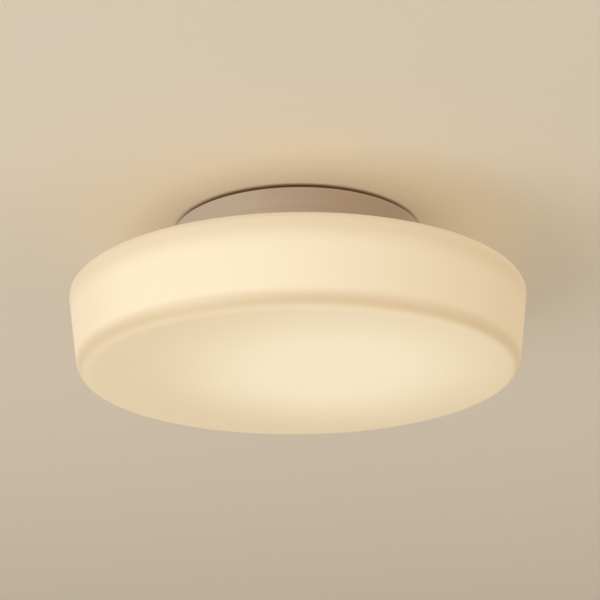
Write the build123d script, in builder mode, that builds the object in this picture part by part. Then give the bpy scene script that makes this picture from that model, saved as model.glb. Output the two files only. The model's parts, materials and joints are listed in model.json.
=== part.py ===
"""Flush mount ceiling light: an opal glass drum held by its neck under a small pressed steel canopy,
with one lamp lying inside it.

Frame: z = 0 is the ceiling and +Z points up into it, so the light hangs below. The origin is the
middle of the two ceiling screws. The lamp lies along X, and the light is seen from -Y.
All sizes are in millimetres.
"""

import os
from math import cos, pi, radians, sin, sqrt

from build123d import *

os.makedirs("parts", exist_ok=True)

# ---------------------------------------------------------------- driving dimensions
# Canopy: a pan pressed from steel sheet, standing off the ceiling on embossed pads
ceiling_gap = 2.0  # dark gap between the ceiling and the pan's plate
sheet = 1.0
pan_radius = 83.0
pan_depth = 37.5  # from the plate's upper face to the skirt's lower edge
pan_bend = 1.6  # outer radius of the bend between plate and skirt
hem_radius = 1.1  # rolled edge at the bottom of the skirt

# Ceiling fixing: two slotted pads and one plain pad
slot_spacing = 110.0
slot_length = 12.0
slot_width = 5.0
slot_pad_length = 26.0
slot_pad_width = 15.0
plain_pad_x = 58.0
plain_pad_radius = 7.5

# Cable entry: a rubber grommet in the middle of the plate
cable_radius = 4.0
grommet_seat_radius = 7.0
grommet_flange_radius = 9.5
grommet_upper = 1.2
grommet_lower = 3.0
grommet_lead_in = 1.0

# Opal glass diffuser: a blown drum with a neck and an outward lip
skirt_gap = 2.2  # from the hem down to the glass shoulder
shoulder_radius = 150.7  # where the wall and the shoulder would meet unrounded
base_radius = 143.1  # where the wall and the base would meet unrounded
drum_height = 56.2
shoulder_rise = 4.0  # how much higher the shoulder is at the neck
base_crown = 1.2  # how much lower the base is at its middle
glass = 3.5  # wall
shoulder_round = 5.2
base_round = 10.2
neck_round = 4.0
lip_gap = 1.4  # lip to the skirt's inner face
lip_reach = 4.0
lip_height = 3.5
lip_round = 1.2

# Thumbscrews: three, holding the lip from below with soft tips
screw_angles = {"a": 90.0, "b": 210.0, "c": 330.0}
screw_above_edge = 7.2  # screw axis above the skirt's lower edge
stud_radius = 2.0
stud_in_head = 4.0
nose_radius = 0.8
nose_length = 2.4
tip_radius = 1.45
tip_length = 3.8
neck_clearance = 0.4  # tip to neck
seat_gap = 0.3  # tip to the underside of the lip
running_gap = 0.05
bush_radius = 3.0
bush_flange_radius = 4.6
bush_flange = 4.2
bush_peen = 0.4
head_gap = 0.6
head_radius = 5.6
head_thickness = 6.5
head_chamfer = 0.7
head_flutes = 24
flute_radius = 0.45
press_gap = 0.05  # around pieces pressed or screwed into a hole

# Lamp: an LED bulb with an Edison screw cap, measured from its end contact
lamp_below_plate = 49.0
bulb_length = 108.0
bulb_radius = 30.0
dome_wall = 1.5
dome_back = 10.0  # how far the dome reaches behind the middle of its sphere
housing_wall = 1.8
housing_throat = 14.6
housing_waist = 20.2  # outer radius halfway along the housing
housing_start = 25.6
housing_neck = 4.0  # how far the housing reaches into the cap
contact_radius = 4.6
contact_pin_radius = 1.2
contact_pin_length = 5.0
insulator_start = 1.2
insulator_small = 5.4
insulator_depth = 2.0  # how far the insulator reaches into the cap
cap_start = 6.0
cap_core = 12.1
cap_wall = 0.6
cap_fit = 0.1
thread_pitch = 3.629
thread_radius = 1.0
thread_turns = 3.75
thread_start = 8.0
led_board_radius = 25.2
led_board = 1.6
led_size = 3.0
led_thickness = 0.8
led_outer_ring = 18.0
led_outer_count = 12
led_inner_ring = 9.0
led_inner_count = 6
driver_width = 18.0
driver_length = 34.0
driver_board = 1.2
capacitor_radius = 4.0
capacitor_length = 12.0
coil_width = 9.0
coil_length = 11.0
coil_height = 7.0

# Lampholder: a porcelain body with a brass screw shell
holder_radius = 20.0
holder_rear_radius = 18.0
holder_rear_length = 15.0
holder_behind_contact = 18.0
holder_mouth = 25.0
holder_edge = 1.5
holder_bore = 14.4
holder_floor = 4.0
shell_clearance = 0.35  # cap thread to shell
shell_wall = 0.45
shell_end = 22.5
shell_ridge = 0.9
chamber_radius = 10.2
chamber_floor = -3.4
contact_strip = 0.5
contact_strip_width = 4.0
contact_gap = 0.2
terminal_block = 6.4
terminal_x = -12.0
terminal_y = 8.0
terminal_above_axis = 7.4
terminal_bore = 1.5
terminal_screw_radius = 1.6
terminal_screw_length = 5.0
terminal_room = 0.2
link_radius = 1.0
shell_link_y = 9.0
shell_link_above = 8.0
contact_link_y = -7.0
contact_link_above = 6.5

# Bracket carrying the lampholder
bracket_from_skirt = 13.0
bracket_sheet = 1.5
bracket_bend = 3.0
bracket_width = 26.0
bracket_foot = 24.0
bracket_below_axis = 16.0
bracket_corner = 5.0
rivet_from_back = 15.0
rivet_spread = 7.0
rivet_radius = 2.0
rivet_head_radius = 3.8
rivet_head = 1.2
holder_screw_spread = 11.0
holder_screw_radius = 1.5
holder_screw_head_radius = 2.8
holder_screw_head = 1.6
holder_screw_length = 7.0

# Terminal strip: three poles, with their brass tubes along X
strip_from_earth = 30.0
strip_before_earth = 5.0
pole_pitch = 11.0
pole_count = 3
pole_radius = 4.6
pole_below_plate = 7.0
strip_width = 18.0
strip_base = 4.0
strip_below_plate = 14.0
tower_radius = 3.0
tube_radius = 2.3
tube_bore = 1.6
tube_length = 15.0
clamp_screw_radius = 1.35
clamp_screw_spread = 4.2
clamp_screw_length = 4.0
strip_screw_radius = 1.4
strip_screw_head_radius = 2.2
strip_screw_head = 2.0
screw_room = 0.2

# Earth point on the plate
earth_angle = 136.0
earth_from_skirt = 9.9
earth_screw_radius = 2.0
earth_head_radius = 3.9
earth_head = 2.6
earth_cross = 5.4  # length of the shorter slot
washer_radius = 4.6
washer_thickness = 0.9
tag_radius = 4.2
tag_thickness = 0.8
tag_reach = 9.0
tag_neck = 4.0
tag_barrel_radius = 1.8

# Internal leads
lead_radius = 1.3
lead_bend = 8.0
lead_last_bend = 7.0
lead_above_block = 14.0  # a lamp lead comes straight down onto its terminal from here
live_straight = 14.5  # first run out of the strip
neutral_straight = 13.5
live_hump = (3.5, 14.0, 11.4)  # middle bend, from the point above its terminal
neutral_hump = (5.5, 28.0, 6.4)
earth_straight = 3.5
earth_last_straight = 5.5
earth_bend = 4.0
ferrule_radius = 0.9
ferrule_length = 6.5

# ---------------------------------------------------------------- places worked out from them
plate_top = -ceiling_gap
plate_under = plate_top - sheet
skirt_edge = plate_top - pan_depth
skirt_inner = pan_radius - sheet
hem_bottom = skirt_edge - hem_radius

screw_z = skirt_edge + screw_above_edge
lip_under = screw_z + tip_radius + seat_gap
lip_top = lip_under + lip_height
lip_radius = skirt_inner - lip_gap
neck_radius = lip_radius - lip_reach
neck_inner = neck_radius - glass
tip_start = neck_radius + neck_clearance
stud_start = tip_start + tip_length + running_gap
bush_end = pan_radius + bush_flange
head_start = bush_end + head_gap

# The shoulder passes skirt_gap below the hem, and falls from the neck to the drum's edge.
shoulder_slope = shoulder_rise / (shoulder_radius - neck_radius)
neck_foot = hem_bottom - skirt_gap + shoulder_slope * (pan_radius - neck_radius)
shoulder_z = neck_foot - shoulder_rise
base_z = shoulder_z - drum_height
wall_slope = (shoulder_radius - base_radius) / drum_height

bracket_back = -holder_behind_contact - bracket_sheet
bracket_back_x = bracket_from_skirt - skirt_inner
contact_x = bracket_back_x - bracket_back
lamp_z = plate_under - lamp_below_plate
lamp_axis = Axis((contact_x, 0, lamp_z), (1, 0, 0))
# Sketches on this plane hold distances along the lamp from its contact, and heights above its axis.
lamp_section = Plane(origin=(contact_x, 0, lamp_z), x_dir=(1, 0, 0), z_dir=(0, -1, 0))
dome_middle = bulb_length - bulb_radius
dome_start = dome_middle - dome_back
dome_inner = bulb_radius - dome_wall
cap_inner = cap_core - cap_wall
insulator_large = cap_inner - cap_fit
shell_inner = cap_core + thread_radius + shell_clearance
shell_outer = shell_inner + shell_wall

earth_distance = skirt_inner - earth_from_skirt
earth_x = earth_distance * cos(radians(earth_angle))
earth_y = earth_distance * sin(radians(earth_angle))
strip_x = earth_x + strip_from_earth
strip_y = earth_y - strip_before_earth
pole_z = plate_under - pole_below_plate
pole_ys = [strip_y + (n - (pole_count - 1) / 2) * pole_pitch for n in range(pole_count)]
strip_screw_ys = [(a + b) / 2 for a, b in zip(pole_ys, pole_ys[1:])]
terminal_z = lamp_z + terminal_above_axis
terminal_world_x = contact_x + terminal_x


def export(piece, name):
    """Labels a finished piece and writes it under its node's name."""
    piece.part.label = name
    export_step(piece.part, f"parts/{name}.step")


def radial_plane(angle, radius, height):
    """A plane square to the radius at that angle, with its normal pointing outwards."""
    a = radians(angle)
    origin = (radius * cos(a), radius * sin(a), height)
    return Plane(origin=origin, x_dir=(-sin(a), cos(a), 0), z_dir=(cos(a), sin(a), 0))


def across_lamp(distance):
    """A plane square to the lamp, at that distance from its contact: x is +Y and y is +Z."""
    return Plane(origin=(contact_x + distance, 0, lamp_z), x_dir=(0, 1, 0), z_dir=(1, 0, 0))


def round_corner(sketch, corner, radius):
    """Rounds the corner of a sketch that lies nearest to a point of its own plane."""
    fillet(sketch.vertices().sort_by_distance((corner[0], corner[1], 0))[0], radius)


# ---------------------------------------------------------------- canopy and what fits in it
rivet_places = [(bracket_back_x + rivet_from_back, y) for y in (-rivet_spread, rivet_spread)]
strip_screw_places = [(strip_x, y) for y in strip_screw_ys]

with BuildPart() as canopy:
    with BuildSketch(Plane.XZ):
        with BuildLine():
            Polyline(
                (0, plate_top),
                (pan_radius, plate_top),
                (pan_radius, skirt_edge),
                (skirt_inner, skirt_edge),
                (skirt_inner, plate_under),
                (0, plate_under),
                close=True,
            )
        section = make_face()
        round_corner(section, (pan_radius, plate_top), pan_bend)
        round_corner(section, (skirt_inner, plate_under), pan_bend - sheet)
    revolve(axis=Axis.Z)
    # Rolled hem, standing outwards so that the glass lip can pass inside the skirt
    with BuildSketch(Plane.XZ):
        with Locations((skirt_inner + hem_radius, skirt_edge)):
            Circle(hem_radius)
    revolve(axis=Axis.Z)
    # Embossed pads that meet the ceiling
    with BuildSketch(Plane.XY.offset(plate_under)):
        with Locations((0, slot_spacing / 2), (0, -slot_spacing / 2)):
            SlotOverall(slot_pad_length, slot_pad_width, rotation=90)
        with Locations((plain_pad_x, 0)):
            Circle(plain_pad_radius)
    extrude(amount=sheet + ceiling_gap)
    with BuildSketch(Plane.XY.offset(plate_under)):
        with Locations((0, slot_spacing / 2), (0, -slot_spacing / 2)):
            SlotOverall(slot_pad_length - 2 * sheet, slot_pad_width - 2 * sheet, rotation=90)
        with Locations((plain_pad_x, 0)):
            Circle(plain_pad_radius - sheet)
    extrude(amount=ceiling_gap, mode=Mode.SUBTRACT)
    # Ceiling slots, cable entry, rivet and screw holes
    with BuildSketch(Plane.XY):
        with Locations((0, slot_spacing / 2), (0, -slot_spacing / 2)):
            SlotOverall(slot_length, slot_width, rotation=90)
        Circle(grommet_seat_radius)
        with Locations(*rivet_places):
            Circle(rivet_radius + press_gap)
        with Locations(*strip_screw_places):
            Circle(strip_screw_radius + press_gap)
        with Locations((earth_x, earth_y)):
            Circle(earth_screw_radius + press_gap)
    extrude(amount=plate_under, mode=Mode.SUBTRACT)
    for angle in screw_angles.values():
        with BuildSketch(radial_plane(angle, skirt_inner - sheet, screw_z)):
            Circle(bush_radius + press_gap)
        extrude(amount=3 * sheet, mode=Mode.SUBTRACT)
export(canopy, "canopy")

with BuildPart() as cable_grommet:
    with BuildSketch(Plane.XZ):
        with BuildLine():
            Polyline(
                (cable_radius, plate_top + grommet_upper),
                (grommet_flange_radius - grommet_lead_in, plate_top + grommet_upper),
                (grommet_flange_radius, plate_top),
                (grommet_seat_radius, plate_top),
                (grommet_seat_radius, plate_under),
                (grommet_flange_radius, plate_under),
                (cable_radius + grommet_lead_in, plate_under - grommet_lower),
                (cable_radius, plate_under - grommet_lower),
                close=True,
            )
        make_face()
    revolve(axis=Axis.Z)
export(cable_grommet, "cable_grommet")

with BuildPart() as clamp_bushes:
    for angle in screw_angles.values():
        with BuildSketch(radial_plane(angle, skirt_inner - bush_peen, screw_z)):
            Circle(bush_radius)
        extrude(amount=bush_peen + sheet + bush_flange)
        with BuildSketch(radial_plane(angle, pan_radius, screw_z)):
            RegularPolygon(bush_flange_radius, 6, major_radius=False)
        extrude(amount=bush_flange)
        with BuildSketch(radial_plane(angle, skirt_inner - bush_peen, screw_z)):
            Circle(stud_radius + running_gap)
        extrude(amount=bush_peen + sheet + bush_flange, mode=Mode.SUBTRACT)
export(clamp_bushes, "clamp_bushes")


# ---------------------------------------------------------------- thumbscrews
def make_thumbscrew(letter, angle):
    """One thumbscrew along the radius at that angle: its soft tip, its stud and its knurled head."""
    with BuildPart() as tip:
        with BuildSketch(radial_plane(angle, tip_start, screw_z)):
            Circle(tip_radius)
        extrude(amount=tip_length)
        with BuildSketch(radial_plane(angle, tip_start + tip_length, screw_z)):
            Circle(nose_radius + running_gap)
        extrude(amount=-nose_length, mode=Mode.SUBTRACT)
    export(tip, f"thumbscrew_tip_{letter}")

    with BuildPart() as stud:
        with BuildSketch(radial_plane(angle, stud_start, screw_z)):
            Circle(stud_radius)
        extrude(amount=head_start + stud_in_head - stud_start)
        with BuildSketch(radial_plane(angle, stud_start, screw_z)):
            Circle(nose_radius)
        extrude(amount=-nose_length)
    export(stud, f"thumbscrew_stud_{letter}")

    with BuildPart() as head:
        with BuildSketch(radial_plane(angle, head_start, screw_z)):
            Circle(head_radius)
            with PolarLocations(head_radius, head_flutes):
                Circle(flute_radius, mode=Mode.SUBTRACT)
        extrude(amount=head_thickness)
        with BuildSketch(radial_plane(angle, head_start + head_thickness, screw_z)):
            Circle(head_radius - 2 * head_chamfer)
        extrude(amount=head_chamfer)
        with BuildSketch(radial_plane(angle, head_start, screw_z)):
            Circle(stud_radius + press_gap)
        extrude(amount=stud_in_head, mode=Mode.SUBTRACT)
    export(head, f"thumbscrew_head_{letter}")


for screw_letter, screw_angle in screw_angles.items():
    make_thumbscrew(screw_letter, screw_angle)


# ---------------------------------------------------------------- opal glass diffuser
def drum_section(inset, neck_top):
    """Half the drum's section, drawn in by inset from its outer face, open upwards to neck_top."""
    side = inset * sqrt(1 + wall_slope**2)
    cover = inset * sqrt(1 + shoulder_slope**2)
    # The wall and shoulder lines, both moved in, meet this far below the outer corner.
    drop = (cover + shoulder_slope * side) / (1 + shoulder_slope * wall_slope)
    edge = (shoulder_radius - side - wall_slope * drop, shoulder_z - drop)
    foot = (base_radius - side + wall_slope * inset, base_z + inset)
    throat = (neck_radius - inset, neck_foot - cover + shoulder_slope * inset)
    middle = (0, base_z - base_crown + inset)
    with BuildSketch(Plane.XZ) as section:
        with BuildLine():
            bow = TangentArc(middle, foot, tangent=(1, 0))
            Polyline(bow @ 1, edge, throat, (throat[0], neck_top), (0, neck_top), middle)
        make_face()
        round_corner(section, foot, base_round - inset)
        round_corner(section, edge, shoulder_round - inset)
        round_corner(section, throat, neck_round + inset)
    return section.sketch


with BuildPart() as diffuser_glass:
    add(drum_section(0, lip_top))
    revolve(axis=Axis.Z)
    # The lip stands out from the top of the neck.
    with BuildSketch(Plane.XZ):
        with Locations((neck_inner, lip_under)):
            Rectangle(glass + lip_reach, lip_height, align=(Align.MIN, Align.MIN))
    revolve(axis=Axis.Z)
    add(drum_section(glass, lip_top + lip_height))
    revolve(axis=Axis.Z, mode=Mode.SUBTRACT)
    lip_edges = diffuser_glass.edges().filter_by(GeomType.CIRCLE)
    fillet(lip_edges.filter_by(lambda e: abs(e.radius - lip_radius) < 0.01), lip_round)
export(diffuser_glass, "diffuser_glass")


# ---------------------------------------------------------------- lamp
def thread_ridge(start, radius_at, ridge, turns):
    """A helical ridge of round section about the lamp's axis, starting at that distance."""
    origin = (contact_x + start, 0, lamp_z)
    with BuildPart() as ridge_part:
        with BuildLine() as path:
            Helix(thread_pitch, turns * thread_pitch, radius_at, center=origin, direction=(1, 0, 0))
        with BuildSketch(Plane(origin=path.line @ 0, z_dir=path.line % 0)):
            Circle(ridge)
        sweep(is_frenet=True)
    return ridge_part.part


with BuildPart() as bulb_contact:
    with BuildSketch(lamp_section):
        with BuildLine():
            dome = TangentArc((0, 0), (insulator_start, contact_radius), tangent=(0, 1))
            Polyline(
                dome @ 1,
                (insulator_start, contact_pin_radius),
                (contact_pin_length, contact_pin_radius),
                (contact_pin_length, 0),
                (0, 0),
            )
        make_face()
    revolve(axis=lamp_axis)
export(bulb_contact, "bulb_contact")

with BuildPart() as bulb_insulator:
    with BuildSketch(lamp_section):
        with BuildLine():
            Polyline(
                (insulator_start, contact_pin_radius + running_gap),
                (insulator_start, insulator_small),
                (cap_start, insulator_large),
                (cap_start + insulator_depth, insulator_large),
                (cap_start + insulator_depth, contact_pin_radius + running_gap),
                close=True,
            )
        make_face()
    revolve(axis=lamp_axis)
export(bulb_insulator, "bulb_insulator")

with BuildPart() as bulb_screw_cap:
    with BuildSketch(lamp_section):
        with Locations((cap_start, cap_inner)):
            Rectangle(housing_start - cap_start, cap_wall, align=(Align.MIN, Align.MIN))
    revolve(axis=lamp_axis)
    add(thread_ridge(thread_start, cap_core, thread_radius, thread_turns))
    with BuildSketch(across_lamp(cap_start)):
        Circle(cap_inner)
    extrude(amount=housing_start - cap_start, mode=Mode.SUBTRACT)
export(bulb_screw_cap, "bulb_screw_cap")

with BuildPart() as bulb_housing:
    with BuildSketch(lamp_section):
        with BuildLine():
            rim = sqrt(bulb_radius**2 - dome_back**2)
            neck = cap_inner - cap_fit
            halfway = (housing_start + dome_start) / 2
            outer = ThreePointArc(
                (housing_start, housing_throat), (halfway, housing_waist), (dome_start, rim)
            )
            Line(outer @ 1, (dome_start, rim - housing_wall))
            inner = ThreePointArc(
                (dome_start, rim - housing_wall),
                (halfway, housing_waist - housing_wall),
                (housing_start + housing_wall, housing_throat - housing_wall),
            )
            Polyline(
                inner @ 1,
                (housing_start + housing_wall, neck - housing_wall),
                (housing_start - housing_neck, neck - housing_wall),
                (housing_start - housing_neck, neck),
                (housing_start, neck),
                outer @ 0,
            )
        make_face()
    revolve(axis=lamp_axis)
export(bulb_housing, "bulb_housing")

with BuildPart() as bulb_dome:
    with BuildSketch(lamp_section):
        with BuildLine():
            outer_rim = sqrt(bulb_radius**2 - dome_back**2)
            inner_rim = sqrt(dome_inner**2 - dome_back**2)
            lean = sqrt(0.5)
            outer = ThreePointArc(
                (dome_start, outer_rim),
                (dome_middle + bulb_radius * lean, bulb_radius * lean),
                (bulb_length, 0),
            )
            Line(outer @ 1, (bulb_length - dome_wall, 0))
            inner = ThreePointArc(
                (bulb_length - dome_wall, 0),
                (dome_middle + dome_inner * lean, dome_inner * lean),
                (dome_start, inner_rim),
            )
            Line(inner @ 1, outer @ 0)
        make_face()
    revolve(axis=lamp_axis)
export(bulb_dome, "bulb_dome")

with BuildPart() as bulb_led_board:
    with BuildSketch(across_lamp(dome_start - led_board)):
        Circle(led_board_radius)
    extrude(amount=led_board)
export(bulb_led_board, "bulb_led_board")

with BuildPart() as bulb_leds:
    with BuildSketch(across_lamp(dome_start)):
        with PolarLocations(led_outer_ring, led_outer_count):
            Rectangle(led_size, led_size)
        with PolarLocations(led_inner_ring, led_inner_count):
            Rectangle(led_size, led_size)
    extrude(amount=led_thickness)
export(bulb_leds, "bulb_leds")

driver_start = dome_start - led_board - driver_length
with BuildPart() as bulb_driver_board:
    with BuildSketch(across_lamp(driver_start)):
        Rectangle(driver_width, driver_board)
    extrude(amount=driver_length)
export(bulb_driver_board, "bulb_driver_board")

with BuildPart() as bulb_capacitor:
    with BuildSketch(Plane.XY.offset(lamp_z + driver_board / 2)):
        with Locations((contact_x + driver_start + driver_length - 2 * capacitor_radius, 0)):
            Circle(capacitor_radius)
    extrude(amount=capacitor_length)
    fillet(bulb_capacitor.edges().group_by(Axis.Z)[-1], capacitor_radius / 8)
export(bulb_capacitor, "bulb_capacitor")

with BuildPart() as bulb_coil:
    with BuildSketch(Plane.XY.offset(lamp_z - driver_board / 2)):
        with Locations((contact_x + driver_start + driver_length / 2, 0)):
            RectangleRounded(coil_length, coil_width, coil_width / 6)
    extrude(amount=-coil_height)
export(bulb_coil, "bulb_coil")


# ---------------------------------------------------------------- bracket, lampholder and contacts
holder_screw_heights = (-holder_screw_spread, holder_screw_spread)

with BuildPart() as holder_bracket:
    with BuildSketch(Plane.XZ.offset(-bracket_width / 2)):
        with BuildLine():
            Polyline(
                (bracket_back_x + bracket_foot, plate_under),
                (bracket_back_x, plate_under),
                (bracket_back_x, lamp_z - bracket_below_axis),
                (bracket_back_x + bracket_sheet, lamp_z - bracket_below_axis),
                (bracket_back_x + bracket_sheet, plate_under - bracket_sheet),
                (bracket_back_x + bracket_foot, plate_under - bracket_sheet),
                close=True,
            )
        outline = make_face()
        round_corner(outline, (bracket_back_x, plate_under), bracket_bend)
        inner_corner = (bracket_back_x + bracket_sheet, plate_under - bracket_sheet)
        round_corner(outline, inner_corner, bracket_bend - bracket_sheet)
    extrude(amount=bracket_width)
    foot_ends = holder_bracket.edges().filter_by(Axis.Z).group_by(Axis.X)[-1]
    fillet(foot_ends, bracket_corner)
    hanging_ends = holder_bracket.edges().filter_by(Axis.X).group_by(Axis.Z)[0]
    fillet(hanging_ends, bracket_corner)
    with BuildSketch(Plane.XY.offset(plate_under)):
        with Locations(*rivet_places):
            Circle(rivet_radius + press_gap)
    extrude(amount=-bracket_sheet, mode=Mode.SUBTRACT)
    with BuildSketch(across_lamp(bracket_back)):
        with Locations(*[(0, height) for height in holder_screw_heights]):
            Circle(holder_screw_radius + press_gap)
    extrude(amount=bracket_sheet, mode=Mode.SUBTRACT)
export(holder_bracket, "holder_bracket")

with BuildPart() as bracket_rivets:
    with BuildSketch(Plane.XY.offset(plate_under - bracket_sheet - rivet_head)):
        with Locations(*rivet_places):
            Circle(rivet_head_radius)
    extrude(amount=rivet_head)
    with BuildSketch(Plane.XY.offset(plate_top)):
        with Locations(*rivet_places):
            Circle(rivet_head_radius)
    extrude(amount=rivet_head)
    fillet(bracket_rivets.edges().group_by(Axis.Z)[0], rivet_head / 2)
    with BuildSketch(Plane.XY.offset(plate_top)):
        with Locations(*rivet_places):
            Circle(rivet_radius)
    extrude(amount=-sheet - bracket_sheet)
export(bracket_rivets, "bracket_rivets")

block_low = terminal_above_axis - terminal_block / 2
block_inner = terminal_y - terminal_block / 2
notch_length = terminal_block + 2 * terminal_room

with BuildPart() as lampholder_body:
    with BuildSketch(lamp_section):
        step = holder_rear_length - holder_behind_contact
        with BuildLine():
            Polyline(
                (-holder_behind_contact, 0),
                (-holder_behind_contact, holder_rear_radius),
                (step, holder_rear_radius),
                (step, holder_radius),
                (holder_mouth, holder_radius),
                (holder_mouth, holder_bore),
                (holder_floor, holder_bore),
                (holder_floor, chamber_radius),
                (chamber_floor, chamber_radius),
                (chamber_floor, 0),
                close=True,
            )
        section = make_face()
        round_corner(section, (holder_mouth, holder_radius), holder_edge)
        round_corner(section, (step, holder_radius), holder_edge)
    revolve(axis=lamp_axis)
    # Notches in the rear for the two terminal blocks, open upwards and to the side
    with BuildSketch(across_lamp(terminal_x - notch_length / 2)):
        for side in (-1, 1):
            with Locations((side * (block_inner - terminal_room), block_low - terminal_room)):
                corner = Align.MIN if side > 0 else Align.MAX
                Rectangle(holder_radius, holder_radius, align=(corner, Align.MIN))
    extrude(amount=notch_length, mode=Mode.SUBTRACT)
    # Holes for the links from the terminal blocks to the shell and the centre contact
    with BuildSketch(across_lamp(terminal_x)):
        with Locations((shell_link_y, shell_link_above), (contact_link_y, contact_link_above)):
            Circle(link_radius + press_gap)
    extrude(amount=holder_floor - terminal_x, mode=Mode.SUBTRACT)
    with BuildSketch(across_lamp(-holder_behind_contact)):
        with Locations(*[(0, height) for height in holder_screw_heights]):
            Circle(holder_screw_radius + press_gap)
    extrude(amount=holder_screw_length - bracket_sheet, mode=Mode.SUBTRACT)
export(lampholder_body, "lampholder_body")

block_front = terminal_x + terminal_block / 2
with BuildPart() as lampholder_shell:
    with BuildSketch(lamp_section):
        with BuildLine():
            Polyline(
                (holder_floor, chamber_radius),
                (holder_floor, shell_outer),
                (shell_end, shell_outer),
                (shell_end, shell_inner),
                (holder_floor + shell_wall, shell_inner),
                (holder_floor + shell_wall, chamber_radius),
                close=True,
            )
        make_face()
    revolve(axis=lamp_axis)
    # Thread ridge, half a pitch away from the cap's, kept within the shell
    shell_thread_start = thread_start - thread_pitch / 2
    add(thread_ridge(shell_thread_start, shell_inner, shell_ridge, thread_turns))
    with BuildSketch(across_lamp(holder_floor)):
        Circle(holder_bore + shell_ridge)
        Circle(shell_outer, mode=Mode.SUBTRACT)
    extrude(amount=shell_end - holder_floor, mode=Mode.SUBTRACT)
    with BuildSketch(across_lamp(block_front)):
        with Locations((shell_link_y, shell_link_above)):
            Circle(link_radius)
    extrude(amount=holder_floor - block_front)
export(lampholder_shell, "lampholder_shell")

# The centre contact is a bent strip that leans from its link towards the lamp's axis.
link_reach = sqrt(contact_link_y**2 + contact_link_above**2)
contact_tilt = Plane(
    origin=(contact_x, 0, lamp_z),
    x_dir=(1, 0, 0),
    z_dir=(0, contact_link_above, -contact_link_y),
)
with BuildPart() as lampholder_contact:
    with BuildSketch(contact_tilt):
        foot = chamber_floor + contact_strip / 2
        tongue = -contact_gap - contact_strip / 2
        side = -1 if contact_tilt.y_dir.Y * contact_link_y < 0 else 1
        with BuildLine():
            Polyline(
                (foot, side * link_reach),
                (foot, side * (link_reach - 2 * link_radius)),
                (tongue, side * 2 * link_radius),
                (tongue, -side * 3 * link_radius),
            )
        trace(line_width=contact_strip)
    extrude(amount=contact_strip_width / 2, both=True)
    with BuildSketch(across_lamp(block_front)):
        with Locations((contact_link_y, contact_link_above)):
            Circle(link_radius)
    extrude(amount=chamber_floor + contact_strip - block_front)
export(lampholder_contact, "lampholder_contact")

with BuildPart() as lampholder_terminals:
    with BuildSketch(across_lamp(terminal_x - terminal_block / 2)):
        with Locations((-terminal_y, terminal_above_axis), (terminal_y, terminal_above_axis)):
            Rectangle(terminal_block, terminal_block)
    extrude(amount=terminal_block)
    block_places = [(terminal_world_x, side * terminal_y) for side in (-1, 1)]
    with BuildSketch(Plane.XY.offset(terminal_z + terminal_block / 2)):
        with Locations(*block_places):
            Circle(terminal_bore)
    extrude(amount=-terminal_block, mode=Mode.SUBTRACT)
    for side in (-1, 1):
        side_plane = Plane(
            origin=(terminal_world_x, side * (terminal_y + terminal_block / 2), terminal_z),
            z_dir=(0, -side, 0),
        )
        with BuildSketch(side_plane):
            Circle(terminal_screw_radius + press_gap)
        extrude(amount=terminal_block / 2, mode=Mode.SUBTRACT)
export(lampholder_terminals, "lampholder_terminals")

with BuildPart() as lampholder_terminal_screws:
    for side in (-1, 1):
        tip_plane = Plane(
            origin=(terminal_world_x, side * (terminal_y + ferrule_radius + press_gap), terminal_z),
            z_dir=(0, side, 0),
        )
        with BuildSketch(tip_plane):
            Circle(terminal_screw_radius)
        extrude(amount=terminal_screw_length)
        with BuildSketch(tip_plane.offset(terminal_screw_length)):
            Rectangle(terminal_screw_radius / 2, 3 * terminal_screw_radius)
        extrude(amount=-terminal_screw_radius / 2, mode=Mode.SUBTRACT)
export(lampholder_terminal_screws, "lampholder_terminal_screws")

with BuildPart() as lampholder_screws:
    with BuildSketch(across_lamp(bracket_back)):
        with Locations(*[(0, height) for height in holder_screw_heights]):
            Circle(holder_screw_radius)
    extrude(amount=holder_screw_length)
    with BuildSketch(across_lamp(bracket_back)):
        with Locations(*[(0, height) for height in holder_screw_heights]):
            Circle(holder_screw_head_radius)
    extrude(amount=-holder_screw_head)
    fillet(lampholder_screws.edges().group_by(Axis.X)[0], holder_screw_head / 2)
    with BuildSketch(across_lamp(bracket_back - holder_screw_head)):
        with Locations(*[(0, height) for height in holder_screw_heights]):
            Rectangle(holder_screw_head / 2, 2 * holder_screw_head_radius)
    extrude(amount=holder_screw_head / 2, mode=Mode.SUBTRACT)
export(lampholder_screws, "lampholder_screws")


# ---------------------------------------------------------------- terminal strip
strip_length_y = pole_count * pole_pitch
clamp_places = [
    (strip_x + side * clamp_screw_spread, pole_y) for pole_y in pole_ys for side in (-1, 1)
]
strip_bottom = plate_under - strip_below_plate

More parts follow.
